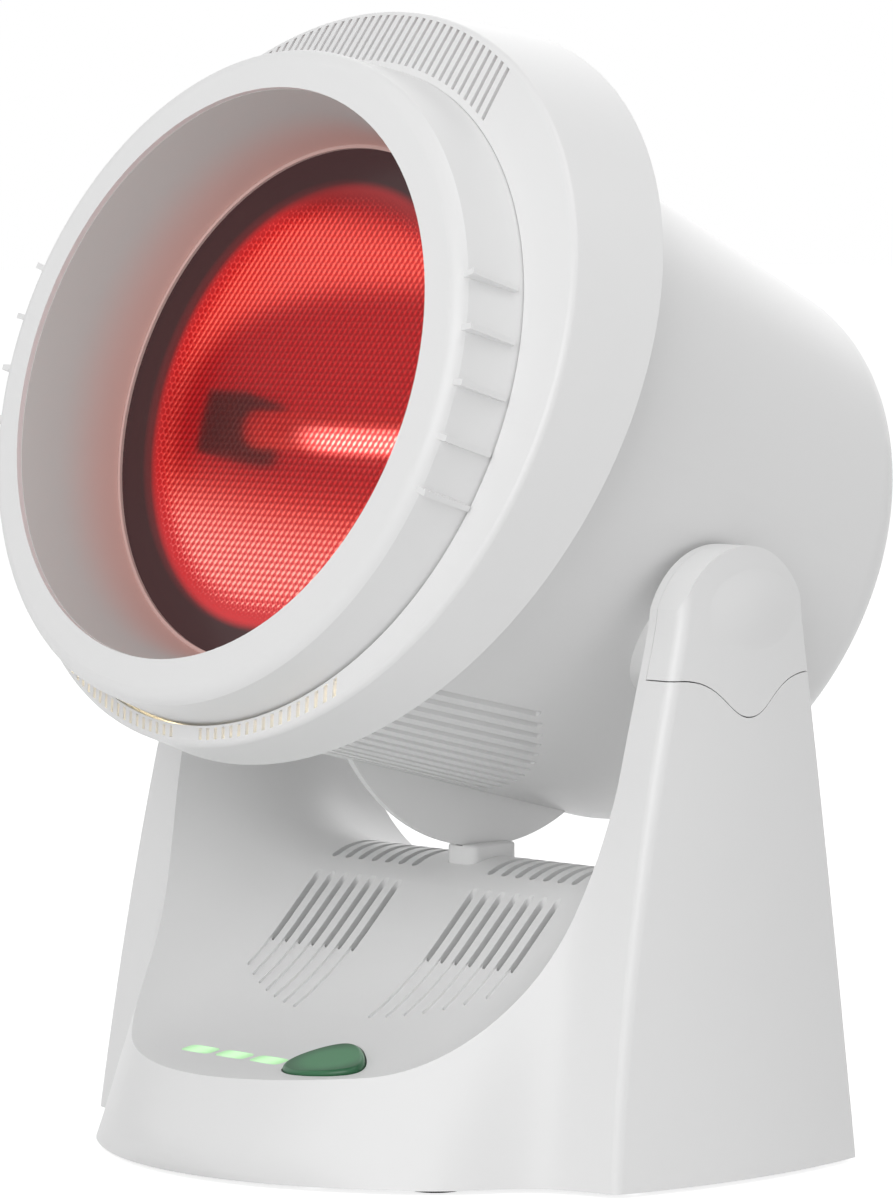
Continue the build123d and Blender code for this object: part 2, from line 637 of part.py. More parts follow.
with BuildPart() as pivot_shaft_right:
    add(pivot_shaft(1))
with BuildPart() as pivot_shaft_left:
    add(pivot_shaft(-1))
with BuildPart() as pivot_bush_right:
    add(pivot_bush(1))
with BuildPart() as pivot_bush_left:
    add(pivot_bush(-1))
with BuildPart() as friction_washer_right:
    add(friction_washer(1))
with BuildPart() as friction_washer_left:
    add(friction_washer(-1))
with BuildPart() as pivot_nuts:
    for side in (-1, 1):
        with BuildSketch(pivot_plane(side, nut_start)):
            RegularPolygon(NUT_WIDTH / 2, 6, major_radius=False)
            Circle(SHAFT_RADIUS + FIT, mode=Mode.SUBTRACT)
        extrude(amount=NUT_THICKNESS)

# ---------------------------------------------------------------------------------------------
# Form of the base
def deck_line(drop=0.0):
    """The deck seen from the side, lowered by drop, from ahead of the apron to behind the arms."""
    ahead_y = 1.25 * BOW_FRONT
    behind_y = 1.6 * ARM_BACK
    return FilletPolyline(
        (ahead_y, DECK_FOOT_HEIGHT - (DECK_FOOT_Y - ahead_y) * DECK_FRONT_SLOPE - drop),
        (DECK_FOOT_Y, DECK_FOOT_HEIGHT - drop),
        (CREST_Y, CREST_HEIGHT - drop),
        (behind_y, CREST_HEIGHT - (behind_y - CREST_Y) * DECK_BACK_SLOPE - drop),
        radius=(DECK_SWEEP, CREST_SWEEP),
        mode=Mode.PRIVATE,
    )


# The button and the windows lie on the long sweep in the front of the deck.
deck_sweep = deck_line().edges().filter_by(GeomType.CIRCLE).sort_by(SortBy.RADIUS)[-1]
sweep_y, sweep_z = deck_sweep.arc_center.X, deck_sweep.arc_center.Y


def deck_plane(x, y):
    """Plane on the front of the deck, facing out of it."""
    height = sweep_z - sqrt(DECK_SWEEP**2 - (sweep_y - y) ** 2)
    return Plane(origin=(x, y, height), x_dir=(1, 0, 0), z_dir=(0, sweep_y - y, sweep_z - height))


def side_x(y, height):
    """Outer side of an arm: it draws in towards the top and is slightly crowned."""
    return (
        SIDE_HALF_WIDTH
        - SIDE_DRAFT * height
        + SIDE_CURL * height**2
        - (y - SIDE_CROWN_Y) ** 2 / (2 * SIDE_CROWN_RADIUS)
    )


def arm_edge(floor_y, height):
    """Front or back edge of an arm, which narrows to the width of the cap at the tilt axis."""
    share = min(height / TILT_HEIGHT, 1)
    cap_y = CAP_RADIUS if floor_y > 0 else -CAP_RADIUS
    return floor_y + (cap_y - floor_y) * (0.58 * share + 0.42 * share**2)


def bow(x, height):
    """How far the front stands ahead of the arms' front edges."""
    if x < BOW_EDGE:
        apron_y = BOW_FRONT + BOW_RADIUS - sqrt(BOW_RADIUS**2 - x**2)
        ahead = ARM_FRONT - apron_y
    else:
        ahead = 0.22 * (SIDE_HALF_WIDTH - 6 - x) ** 1.22
    left = max(1 - height / TILT_HEIGHT, 0)
    return ahead * left ** (0.25 + 1.35 * min(x / BOW_EDGE, 1) ** 2)


def base_section(height, inset):
    """Outline of the whole base at a height, drawn in by inset."""
    front_y = arm_edge(ARM_FRONT, height) + inset
    back_y = arm_edge(ARM_BACK, height) - inset
    front_x = side_x(front_y, height) - inset
    back_x = side_x(back_y, height) - inset
    half = [(x, front_y - bow(x, height)) for x in (0, 28, 52, 68, 80, 90)]
    right = half + [(front_x, front_y)]
    left = [(-x, y) for x, y in reversed(right[1:])]
    with BuildSketch(Plane.XY.offset(height)) as section:
        with BuildLine():
            Spline(*left, *right)
            for side in (-1, 1):
                crown = (side * (side_x(SIDE_CROWN_Y, height) - inset), SIDE_CROWN_Y)
                ThreePointArc((side * front_x, front_y), crown, (side * back_x, back_y))
            Line((-back_x, back_y), (back_x, back_y))
        make_face()
    return section.sketch


def runs_lengthwise(edge):
    """Whether an edge runs from front to back along one side."""
    size = edge.bounding_box().size
    return size.X < FIT and size.Y > FIT


def gap_form(grow=0.0):
    """The open space above the deck and between the arms, which the deck sweeps up into."""
    half = ARM_INNER + grow
    with BuildPart() as form:
        with BuildSketch(Plane.YZ):
            with BuildLine():
                floor = deck_line(1.15 * grow)
                add(floor)
                high = TILT_HEIGHT + 2 * CAP_RADIUS
                front, back = (floor @ 0).X, (floor @ 1).X
                Polyline(floor @ 1, (back, high), (front, high), floor @ 0)
            make_face()
        extrude(amount=half, both=True)
        beside_floor = form.edges().filter_by(lambda edge: edge.center().Z < high - 1)
        fillet(beside_floor.filter_by(runs_lengthwise), radius=GAP_CORNER + grow)
    return form.part


def base_form(inset=0.0, rounding=0.0, bottom=BASE_CLEARANCE):
    """The base as one closed body, or its hollow when it is drawn in by the wall."""
    heights = (bottom, 24, 48, 72, 96, 118, TILT_HEIGHT, TILT_HEIGHT + 1.5 * CAP_RADIUS)
    with BuildPart() as form:
        loft([base_section(height, inset) for height in heights])
        if rounding:
            corners = form.edges().filter_by(lambda edge: edge.bounding_box().size.Z > TILT_HEIGHT)
            fillet(corners, radius=rounding)
        with BuildSketch(Plane.YZ):
            with Locations((0, TILT_HEIGHT)):
                Circle(CAP_RADIUS - inset)
                Rectangle(3 * SIDE_HALF_WIDTH, 2 * TILT_HEIGHT, align=(Align.CENTER, Align.MAX))
        extrude(amount=2 * SIDE_HALF_WIDTH, both=True, mode=Mode.INTERSECT)
        add(gap_form(inset), mode=Mode.SUBTRACT)
    return form.part


def cap_zone(drop=0.0):
    """The upper ends of the arms: all that lies above the wavy seam, outside the inner walls."""
    edge_height = TILT_HEIGHT - SEAM_SIDE_DROP - drop
    with BuildPart() as zone:
        with BuildSketch(Plane.YZ):
            with BuildLine():
                Spline(
                    (-SEAM_HALF_WIDTH, edge_height),
                    (0, edge_height - SEAM_DIP),
                    (SEAM_HALF_WIDTH, edge_height),
                    tangents=[(1, 0), (1, 0), (1, 0)],
                )
                Polyline(
                    (SEAM_HALF_WIDTH, edge_height),
                    (2 * CAP_RADIUS, edge_height),
                    (2 * CAP_RADIUS, TILT_HEIGHT + 2 * CAP_RADIUS),
                    (-2 * CAP_RADIUS, TILT_HEIGHT + 2 * CAP_RADIUS),
                    (-2 * CAP_RADIUS, edge_height),
                    (-SEAM_HALF_WIDTH, edge_height),
                )
            make_face()
        extrude(amount=2 * SIDE_HALF_WIDTH, both=True)
        inner_wall = ARM_INNER + BASE_WALL + (FIT if drop == 0 else 0)
        Box(2 * inner_wall, 4 * SIDE_HALF_WIDTH, 4 * TILT_HEIGHT, mode=Mode.SUBTRACT)
    return zone.part


outer_form = base_form(rounding=ARM_EDGE_ROUNDING)
inner_form = base_form(BASE_WALL, bottom=0)

# ---------------------------------------------------------------------------------------------
# Pieces that sit in the deck
guide_bottom = GUIDE_TOP - GUIDE_DEPTH


def guide_outline(grow=0.0):
    with BuildSketch(Plane.XY.offset(guide_bottom)) as outline:
        with Locations((0, GUIDE_Y)):
            RectangleRounded(GUIDE_WIDTH + 2 * grow, GUIDE_LENGTH + 2 * grow, radius=2.5 + grow)
    return outline.sketch


with BuildPart() as guide_block:
    extrude(guide_outline(), amount=GUIDE_DEPTH)
    fillet(guide_block.faces().sort_by(Axis.Z)[-1].edges(), radius=0.8)
    add(sector_plate(MOVING), mode=Mode.SUBTRACT)

button_plane = deck_plane(BUTTON_X, BUTTON_Y)


def button_outline(grow=0.0):
    """Leaf outline of the start button on the deck, widened by grow."""
    leaf = [(-7.5, -9.2), (-11.3, 1), (-6.3, 11.6), (5, 7.2), (12.4, -3.2), (4, -9.6)]
    share = [1 + grow / sqrt(x**2 + y**2) for x, y in leaf]
    with BuildSketch(button_plane) as outline:
        with BuildLine():
            Spline(*[(x * wider, y * wider) for (x, y), wider in zip(leaf, share)], periodic=True)
        make_face()
    return outline.sketch


with BuildPart() as start_button:
    extrude(button_outline(), amount=BUTTON_PROUD)
    extrude(button_outline(), amount=BUTTON_PROUD - BUTTON_THICKNESS)
    button_top = start_button.faces().sort_by(Axis(button_plane.origin, button_plane.z_dir))[-1]
    fillet(button_top.edges(), radius=BUTTON_ROUNDING)
    with BuildSketch(button_plane.offset(BUTTON_PROUD - BUTTON_THICKNESS)):
        Circle(SPRING_RADIUS - SPRING_WIRE)
    extrude(amount=-BUTTON_THICKNESS / 2)

window_plane = deck_plane(WINDOW_X, WINDOW_Y)


def window_outline(grow=0.0):
    with BuildSketch(window_plane) as outline:
        with Locations(*[(x, 0) for x in spread(WINDOW_COUNT, WINDOW_PITCH)]):
            RectangleRounded(WINDOW_LENGTH + 2 * grow, WINDOW_WIDTH + 2 * grow, radius=1.5 + grow)
    return outline.sketch


with BuildPart() as led_window:
    extrude(window_outline(), amount=-BASE_WALL - 1)
    with BuildSketch(window_plane.offset(-BASE_WALL - 1)):
        RectangleRounded(WINDOW_COUNT * WINDOW_PITCH, WINDOW_WIDTH + 3, radius=1.5)
    extrude(amount=-BASE_WALL / 2)

# ---------------------------------------------------------------------------------------------
# Base shell: apron, deck and hollow arms in one moulding
deck_slot_places = [DECK_SLOT_START + place * DECK_SLOT_PITCH for place in range(DECK_SLOT_COUNT)]
deck_top = Plane.XY.offset(TILT_HEIGHT)


def slot_bars(front, back):
    """Upright bars for a row of slots on each side; front gives each slot's front end."""
    with BuildPart() as bars:
        with BuildSketch(deck_top):
            for x in deck_slot_places:
                length = back - front(x)
                with Locations((x, (back + front(x)) / 2), (-x, (back + front(x)) / 2)):
                    SlotOverall(length, DECK_SLOT_WIDTH, rotation=90)
        extrude(amount=-TILT_HEIGHT + DECK_FOOT_HEIGHT / 2)
    return bars.part


with BuildPart() as deck_grooves:
    add(slot_bars(lambda x: DECK_GROOVE_FOOT + 0.0062 * x**2, DECK_SLOT_TOP))
    with BuildSketch(Plane.YZ):
        with BuildLine():
            groove_floor = deck_line(DECK_GROOVE_DEPTH)
            add(groove_floor)
            Polyline(groove_floor @ 1, (0, 2 * TILT_HEIGHT), groove_floor @ 0)
        make_face()
    extrude(amount=SIDE_HALF_WIDTH, both=True, mode=Mode.INTERSECT)

post_places = [(-94, -40), (94, -40), (-94, 26), (94, 26), (-34, -90), (34, -90)]
gland_y = arm_edge(ARM_BACK, GLAND_HEIGHT - GLAND_RADIUS)
gland_plane = Plane(origin=(0, gland_y, GLAND_HEIGHT), x_dir=(-1, 0, 0), z_dir=(0, 1, 0))
# posts for the bottom screws, grown together with the walls
post_bottom = BASE_CLEARANCE + PLATE_THICKNESS + 2 * FIT
with BuildPart() as posts:
    with BuildSketch(Plane.XY.offset(post_bottom)):
        with Locations(*post_places):
            Circle(POST_RADIUS)
            Circle(SCREW_RADIUS, mode=Mode.SUBTRACT)
    extrude(amount=POST_HEIGHT)
    add(outer_form, mode=Mode.INTERSECT)

with BuildPart() as deck_openings:
    add(slot_bars(lambda x: DECK_SLOT_FOOT, DECK_SLOT_TOP))
    add(slot_bars(lambda x: CREST_SLOT_FRONT, CREST_SLOT_BACK))
    add(deck_grooves.part)
    extrude(guide_outline(FIT), amount=2 * GUIDE_DEPTH)
    extrude(button_outline(BUTTON_GAP), amount=2 * BASE_WALL, both=True)
    extrude(window_outline(FIT), amount=2 * BASE_WALL, both=True)

stop_half_angle = TILT_TRAVEL + STOP_SLACK
stop_path = CenterArc((0, 0), STOP_RADIUS, -stop_half_angle, 2 * stop_half_angle)
with BuildPart() as wall_openings:
    # inner walls of the arms: holes for the bushes and curved slots for the stop pins
    for side in (-1, 1):
        with BuildSketch(pivot_plane(side, ARM_INNER - 1)):
            Circle(BUSH_RADIUS + FIT)
            SlotArc(stop_path, 2 * (STOP_PIN_RADIUS + MOVING))
        extrude(amount=1 + BASE_WALL + FIT)
    with BuildSketch(gland_plane.offset(1)):
        Circle(GLAND_RADIUS - GLAND_FLANGE + FIT)
    extrude(amount=-GLAND_LENGTH)

with BuildPart() as base_shell:
    add(outer_form)
    add(inner_form, mode=Mode.SUBTRACT)
    add(posts.part)
    add(cap_zone(SEAM_GAP), mode=Mode.SUBTRACT)
    add(deck_openings.part, mode=Mode.SUBTRACT)
    add(wall_openings.part, mode=Mode.SUBTRACT)

with BuildPart() as cap_form:
    add(outer_form)
    add(inner_form, mode=Mode.SUBTRACT)
    add(cap_zone(), mode=Mode.INTERSECT)
cap_left_solid, cap_right_solid = cap_form.part.solids().sort_by(Axis.X)
with BuildPart() as cap_right:
    add(cap_right_solid)
with BuildPart() as cap_left:
    add(cap_left_solid)

# ---------------------------------------------------------------------------------------------
# Bottom plate, feet, ballast and screws
plate_bottom = BASE_CLEARANCE + FIT
plate_top = plate_bottom + PLATE_THICKNESS
with BuildPart() as bottom_plate:
    extrude(base_section(plate_top, BASE_WALL + MOVING), amount=-PLATE_THICKNESS)
    with BuildSketch(Plane.XY.offset(plate_bottom)):
        with Locations(*post_places):
            Circle(SCREW_RADIUS + FIT)
    extrude(amount=PLATE_THICKNESS, mode=Mode.SUBTRACT)
    with BuildSketch(Plane.XY.offset(plate_bottom)):
        RectangleRounded(LABEL_LENGTH, LABEL_WIDTH, radius=3)
    extrude(amount=LABEL_DEPTH, taper=45, mode=Mode.SUBTRACT)

foot_places = [(-80, 18), (80, 18), (-56, -70), (56, -70)]
with BuildPart() as rubber_feet:
    with BuildSketch(Plane.XY):
        with Locations(*foot_places):
            Circle(FOOT_RADIUS)
    extrude(amount=plate_bottom)

with BuildPart() as ballast_plate:
    with BuildSketch(Plane.XY.offset(plate_top)):
        with Locations((0, BALLAST_Y)):
            RectangleRounded(BALLAST_LENGTH, BALLAST_WIDTH, radius=6)
    extrude(amount=BALLAST_THICKNESS)

with BuildPart() as base_screws:
    with BuildSketch(Plane.XY.offset(plate_bottom)):
        with Locations(*post_places):
            Circle(SCREW_RADIUS - FIT)
    extrude(amount=POST_HEIGHT / 2)
    with BuildSketch(Plane.XY.offset(plate_bottom)):
        with Locations(*post_places):
            Circle(SCREW_HEAD_RADIUS)
    extrude(amount=-BASE_CLEARANCE / 2)

with BuildPart() as cable_gland:
    with BuildSketch(gland_plane):
        Circle(GLAND_RADIUS)
    extrude(amount=GLAND_FLANGE)
    with BuildSketch(gland_plane):
        Circle(GLAND_RADIUS - GLAND_FLANGE)
    extrude(amount=-GLAND_LENGTH)
    with BuildSketch(gland_plane.offset(GLAND_FLANGE)):
        Circle(GLAND_BORE)
    extrude(amount=-GLAND_LENGTH - GLAND_FLANGE, mode=Mode.SUBTRACT)

# ---------------------------------------------------------------------------------------------
# Control board on four posts of its own, with its parts, and the button's spring
board_centre = (BOARD_X, BOARD_Y)
with BuildPart() as control_board:
    with BuildSketch(Plane.XY.offset(BOARD_HEIGHT)):
        with Locations(board_centre):
            Rectangle(BOARD_LENGTH, BOARD_WIDTH)
    extrude(amount=BOARD_THICKNESS)

with BuildPart() as board_posts:
    with BuildSketch(Plane.XY.offset(plate_top)):
        with Locations(board_centre):
            with GridLocations(BOARD_LENGTH - 10, BOARD_WIDTH - 8, 2, 2):
                Circle(SCREW_HEAD_RADIUS)
    extrude(amount=BOARD_HEIGHT - plate_top)

board_top = BOARD_HEIGHT + BOARD_THICKNESS
stem_end = button_plane.offset(BUTTON_PROUD - 1.5 * BUTTON_THICKNESS).origin
with BuildPart() as board_parts:
    # relay, transformer and capacitor
    with BuildSketch(Plane.XY.offset(board_top)):
        with Locations((BOARD_X - 33, BOARD_Y + 4)):
            Rectangle(18, 14)
    extrude(amount=8)
    with BuildSketch(Plane.XY.offset(board_top)):
        with Locations((BOARD_X - 2, BOARD_Y + 5)):
            Rectangle(16, 14)
    extrude(amount=10)
    with BuildSketch(Plane.XY.offset(board_top)):
        with Locations((BOARD_X + 38, BOARD_Y + 8)):
            Circle(4)
    extrude(amount=9)
    # push switch that carries the spring, and its plunger below the button's stem
    with BuildSketch(Plane.XY.offset(board_top)):
        with Locations((stem_end.X, stem_end.Y)):
            Rectangle(12, 12)
    extrude(amount=stem_end.Z - board_top - SWITCH_DROP)
    with BuildSketch(Plane.XY.offset(board_top)):
        with Locations((stem_end.X, stem_end.Y)):
            Circle(PLUNGER_RADIUS)
    extrude(amount=stem_end.Z - board_top - BUTTON_TRAVEL - 2 * MOVING)

spring_length = BUTTON_THICKNESS / 2 + BUTTON_TRAVEL + MOVING
spring_seat = button_plane.offset(BUTTON_PROUD - BUTTON_THICKNESS - spring_length)
with BuildPart() as button_spring:
    with BuildLine():
        coil = Helix(
            pitch=spring_length / 3,
            height=spring_length - 2 * SPRING_WIRE,
            radius=SPRING_RADIUS,
            center=spring_seat.origin,
            direction=spring_seat.z_dir,
        )
    with BuildSketch(Plane(origin=coil @ 0, z_dir=coil % 0)):
        Circle(SPRING_WIRE / 2)
    sweep(path=coil, is_frenet=True)

# ---------------------------------------------------------------------------------------------
# Every piece is written under its own name
pieces = {
    "base_shell": base_shell,
    "bottom_plate": bottom_plate,
    "rubber_feet": rubber_feet,
    "ballast_plate": ballast_plate,
    "base_screws": base_screws,
    "cap_right": cap_right,
    "cap_left": cap_left,
    "start_button": start_button,
    "button_spring": button_spring,
    "led_window": led_window,
    "control_board": control_board,
    "board_posts": board_posts,
    "board_parts": board_parts,
    "guide_block": guide_block,
    "pivot_bush_right": pivot_bush_right,
    "pivot_bush_left": pivot_bush_left,
    "cable_gland": cable_gland,
    "front_ring": front_ring,
    "visor_liner": visor_liner,
    "filter_glass": filter_glass,
    "glass_seal": glass_seal,
    "head_ring": head_ring,
    "rear_housing": rear_housing,
    "tilt_sector": tilt_sector,
    "head_screws": head_screws,
    "reflector": reflector,
    "halogen_tube": halogen_tube,
    "lamp_holder_right": lamp_holder_right,
    "lamp_holder_left": lamp_holder_left,
    "reflector_bracket": reflector_bracket,
    "thermal_cutout": thermal_cutout,
    "terminal_block": terminal_block,
    "pivot_shaft_right": pivot_shaft_right,
    "pivot_shaft_left": pivot_shaft_left,
    "friction_washer_right": friction_washer_right,
    "friction_washer_left": friction_washer_left,
    "pivot_nuts": pivot_nuts,
}
for name, piece in pieces.items():
    piece.part.label = name
    export_step(piece.part, f"parts/{name}.step")
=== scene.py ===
# %% [markdown]
# ## An infrared heat lamp, dressed around its CAD frame
# The lamp's construction comes from CAD and stays as it is. This lesson gives every
# part its finish, and models the few forms that are easier to make as meshes.
# Loading the frame first means that every later piece can be placed from real sizes.

# %% Load the frame
import json
import math

import bmesh
import bpy
from mathutils import Matrix, Vector


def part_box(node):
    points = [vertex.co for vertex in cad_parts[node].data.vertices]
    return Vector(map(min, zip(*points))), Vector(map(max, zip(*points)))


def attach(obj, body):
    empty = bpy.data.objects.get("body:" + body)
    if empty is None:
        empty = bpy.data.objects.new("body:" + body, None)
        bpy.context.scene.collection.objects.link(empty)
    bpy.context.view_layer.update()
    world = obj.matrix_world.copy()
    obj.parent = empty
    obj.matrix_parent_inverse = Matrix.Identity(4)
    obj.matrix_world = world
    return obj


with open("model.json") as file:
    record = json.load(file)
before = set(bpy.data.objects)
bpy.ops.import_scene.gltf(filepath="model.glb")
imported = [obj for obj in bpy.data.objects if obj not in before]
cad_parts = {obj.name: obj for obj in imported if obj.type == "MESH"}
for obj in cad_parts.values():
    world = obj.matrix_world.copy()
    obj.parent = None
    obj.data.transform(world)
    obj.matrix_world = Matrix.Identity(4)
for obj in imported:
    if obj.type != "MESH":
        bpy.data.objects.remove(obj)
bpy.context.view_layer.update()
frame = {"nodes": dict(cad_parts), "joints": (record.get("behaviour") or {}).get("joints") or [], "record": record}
MM = 0.001

# %% [markdown]
# ## The head's own directions
# The head is tilted, so forms on it are easier to write in its own directions: across,
# up its face, and forward along its centre line. The tilt joint gives the pivot, and the
# head rests halfway up its travel, so the joint's upper limit is also its tilt. Reading
# the joint is safer than writing the angle again, because the two can't drift apart.

# %% Directions of the tilted head
tilt_joint = next(j for j in frame["joints"] if j["type"] == "hinge")
pivot = Vector(tilt_joint["pos_m"])
head_tilt = math.radians(tilt_joint["range_deg"][1])
head_forward = Vector((0, -math.cos(head_tilt), math.sin(head_tilt)))
head_up = Vector((0, math.sin(head_tilt), math.cos(head_tilt)))
FACE_RISE = 37.4 * MM  # the filter's centre above the pivot, across the head's axis


def in_head(across, rise, along):
    """A point of the head, from the pivot, in the row frame."""
    return pivot + Vector((across, 0, 0)) + head_up * rise + head_forward * along


print("head tilt:", round(math.degrees(head_tilt), 1), "degrees")

# %% [markdown]
# ## The camera
# A product picture is taken with a long lens from some way off, which keeps the verticals
# straight. The camera could be dragged into place by hand. Its two angles, its distance
# and its aim are written as numbers instead, which makes the view easy to repeat and to
# adjust. It stands to the lamp's front right, a little above the tilt axis.

# %% Camera
CAMERA_AZIMUTH = math.radians(47.17)
CAMERA_ELEVATION = math.radians(3.82)
CAMERA_DISTANCE = 1.56
AIM_ACROSS = -10.54 * MM
AIM_UP = 5.87 * MM
SENSOR_WIDTH = 36  # in mm, as Blender's lens and sensor always are
LENS = 180
camera_back = Vector((
    math.sin(CAMERA_AZIMUTH) * math.cos(CAMERA_ELEVATION),
    -math.cos(CAMERA_AZIMUTH) * math.cos(CAMERA_ELEVATION),
    math.sin(CAMERA_ELEVATION),
))
camera_right = Vector((math.cos(CAMERA_AZIMUTH), math.sin(CAMERA_AZIMUTH), 0))
camera_up = camera_back.cross(camera_right)
camera_data = bpy.data.cameras.new("camera")
camera_data.sensor_width = SENSOR_WIDTH
camera_data.lens = LENS
camera = bpy.data.objects.new("camera", camera_data)
bpy.context.scene.collection.objects.link(camera)
camera.location = (
    pivot + camera_back * CAMERA_DISTANCE + camera_right * AIM_ACROSS + camera_up * AIM_UP
)
turn = Matrix((camera_right, camera_up, camera_back)).transposed()
camera.rotation_mode = "QUATERNION"
camera.rotation_quaternion = turn.to_quaternion()
bpy.context.scene.camera = camera
bpy.context.scene.view_settings.view_transform = "Standard"
print("camera at", [round(v, 3) for v in camera.location])

# %% [markdown]
# ## Helpers for nodes
# Materials are graphs, and a graph reads best when each node is one short line. These
# helpers add a node, fill in its inputs, and link those that come from another node.
# A fade may also run downwards: its start is then the larger of the two values.

# %% Helpers for nodes
def node(tree, kind, inputs=None, **settings):
    """Add a node, set its properties, and fill or link its inputs."""
    made = tree.nodes.new(kind)
    for name, value in settings.items():
        setattr(made, name, value)
    for name, value in (inputs or {}).items():
        if isinstance(value, bpy.types.NodeSocket):
            tree.links.new(value, made.inputs[name])
        else:
            made.inputs[name].default_value = value
    return made


def math_node(tree, operation, first, second=0.0):
    """The value of a Math node."""
    return node(tree, "ShaderNodeMath", {0: first, 1: second}, operation=operation).outputs[0]


def vector_node(tree, operation, first, second=(0, 0, 0), output="Vector"):
    """One output of a Vector Math node."""
    made = node(tree, "ShaderNodeVectorMath", {0: first, 1: second}, operation=operation)
    return made.outputs[output]


def fade(tree, value, start, end):
    """0 before start, 1 after end, and smooth between."""
    inputs = {"Value": value, "From Min": start, "From Max": end}
    kind = {"interpolation_type": "SMOOTHSTEP", "clamp": True}
    return node(tree, "ShaderNodeMapRange", inputs, **kind).outputs["Result"]


def mixed(tree, share, first, second):
    """A colour between two colours. 6 and 7 are the Mix node's colour inputs."""
    made = node(tree, "ShaderNodeMix", {0: share, 6: first, 7: second}, data_type="RGBA")
    return made.outputs[2]


print("helpers for nodes are ready")

# %% [markdown]
# ## Helpers for groups, materials and colours
# A group is a graph of its own that several materials share, with named inputs and
# outputs. A material starts from Blender's Principled shader, whose sockets are set by
# name. Colours are easier to pick as usual 0 to 255 values, but a shader works with
# linear light, so one helper turns the first into the second.

# %% Helpers for groups, materials and colours
finishes = {}  # every finished material, by the name of its slot


def group(name, inputs, outputs):
    """A shader node group with named value inputs and outputs."""
    tree = bpy.data.node_groups.new(name, "ShaderNodeTree")
    for socket, value in inputs.items():
        made = tree.interface.new_socket(socket, in_out="INPUT", socket_type="NodeSocketFloat")
        made.default_value = value
    for socket in outputs:
        tree.interface.new_socket(socket, in_out="OUTPUT", socket_type="NodeSocketFloat")
    return tree, tree.nodes.new("NodeGroupInput"), tree.nodes.new("NodeGroupOutput")


def swung_roughness(tree, given, noise):
    """A group's Roughness, swung up and down by a noise, as far as its Spread says."""
    swing = math_node(tree, "SUBTRACT", noise, 0.5)
    swing = math_node(tree, "MULTIPLY", swing, given.outputs["Spread"])
    return math_node(tree, "ADD", given.outputs["Roughness"], swing)


def material(name, **sockets):
    """A new material: its graph, and its Principled shader with these sockets set."""
    made = bpy.data.materials.new(name)
    made.use_nodes = True
    shader = made.node_tree.nodes["Principled BSDF"]
    for socket, value in sockets.items():
        shader.inputs[socket.replace("_", " ")].default_value = value
    finishes[name] = made
    return made.node_tree, shader


def linear(red, green, blue):
    """A colour from its usual 0 to 255 values."""
    return tuple(((v / 255 + 0.055) / 1.055) ** 2.4 for v in (red, green, blue)) + (1,)


def grey(value):
    """A grey in linear light."""
    return (value, value, value, 1)


print("238 of 255 is", round(linear(238, 238, 238)[0], 3), "in linear light")

# %% [markdown]
# ## Moulded grain, a group that every plastic shares
# Moulded plastic is never quite even: the tool leaves a fine spark grain, and the gloss
# wanders slowly over a large face. Two noises make both. As one group with its own
# inputs, it can be coarse on a base plate and almost invisible on a white housing.

# %% Node group: moulded grain
CLOUD_SCALE = 9.0  # slow clouds, about nine to a metre
tree, given, made = group(
    "moulded_grain",
    {"Grain Size": 0.4, "Roughness": 0.4, "Spread": 0.05},
    ["Roughness", "Height", "Cloud"],
)
place = tree.nodes.new("ShaderNodeTexCoord").outputs["Object"]
fineness = math_node(tree, "DIVIDE", 1 / MM, given.outputs["Grain Size"])
grain = node(tree, "ShaderNodeTexNoise", {"Vector": place, "Scale": fineness, "Detail": 2.0})
cloud = node(tree, "ShaderNodeTexNoise", {"Vector": place, "Scale": CLOUD_SCALE, "Detail": 3.0})
gloss = swung_roughness(tree, given, cloud.outputs["Fac"])
tree.links.new(gloss, made.inputs["Roughness"])
tree.links.new(grain.outputs["Fac"], made.inputs["Height"])
tree.links.new(cloud.outputs["Fac"], made.inputs["Cloud"])
moulded_grain = tree
print("group", tree.name)

# %% [markdown]
# ## Fine lines, a group for the metal parts
# Sheet steel and turned parts carry fine lines. A noise that is stretched along one
# direction gives them, and the same lines drive both the roughness and a slight relief.

# %% Node group: fine lines
LINE_STRETCH = (60, 2500, 2500)  # long along x, and close together across it
tree, given, made = group("fine_lines", {"Roughness": 0.3, "Spread": 0.2}, ["Roughness", "Height"])
place = tree.nodes.new("ShaderNodeTexCoord").outputs["Object"]
stretched = vector_node(tree, "MULTIPLY", place, LINE_STRETCH)
lines = node(tree, "ShaderNodeTexNoise", {"Vector": stretched, "Scale": 1.0, "Detail": 2.0})
gloss = swung_roughness(tree, given, lines.outputs["Fac"])
tree.links.new(gloss, made.inputs["Roughness"])
tree.links.new(lines.outputs["Fac"], made.inputs["Height"])
fine_lines = tree
print("group", tree.name)

# %% [markdown]
# ## The plastics
# The lamp is mostly satin white plastic, with greys and blacks inside and below. All of
# them are one recipe with other values: a colour that drifts a little, a roughness
# around a middle value, and a relief a few hundredths of a millimetre deep at most.

# %% The recipe for a plastic
BUMP_STRENGTH = 0.6


def moulded(slot, roughness, grain_size, relief):
    """A plastic with the shared grain, in mm. Its colour is left to the caller."""
    tree, shader = material(slot)
    grain = node(tree, "ShaderNodeGroup", node_tree=moulded_grain)
    grain.inputs["Grain Size"].default_value = grain_size
    grain.inputs["Roughness"].default_value = roughness
    tree.links.new(grain.outputs["Roughness"], shader.inputs["Roughness"])
    inputs = {"Height": grain.outputs["Height"], "Distance": relief * MM, "Strength": BUMP_STRENGTH}
    bump = node(tree, "ShaderNodeBump", inputs)
    tree.links.new(bump.outputs["Normal"], shader.inputs["Normal"])
    return tree, shader, grain.outputs["Cloud"]


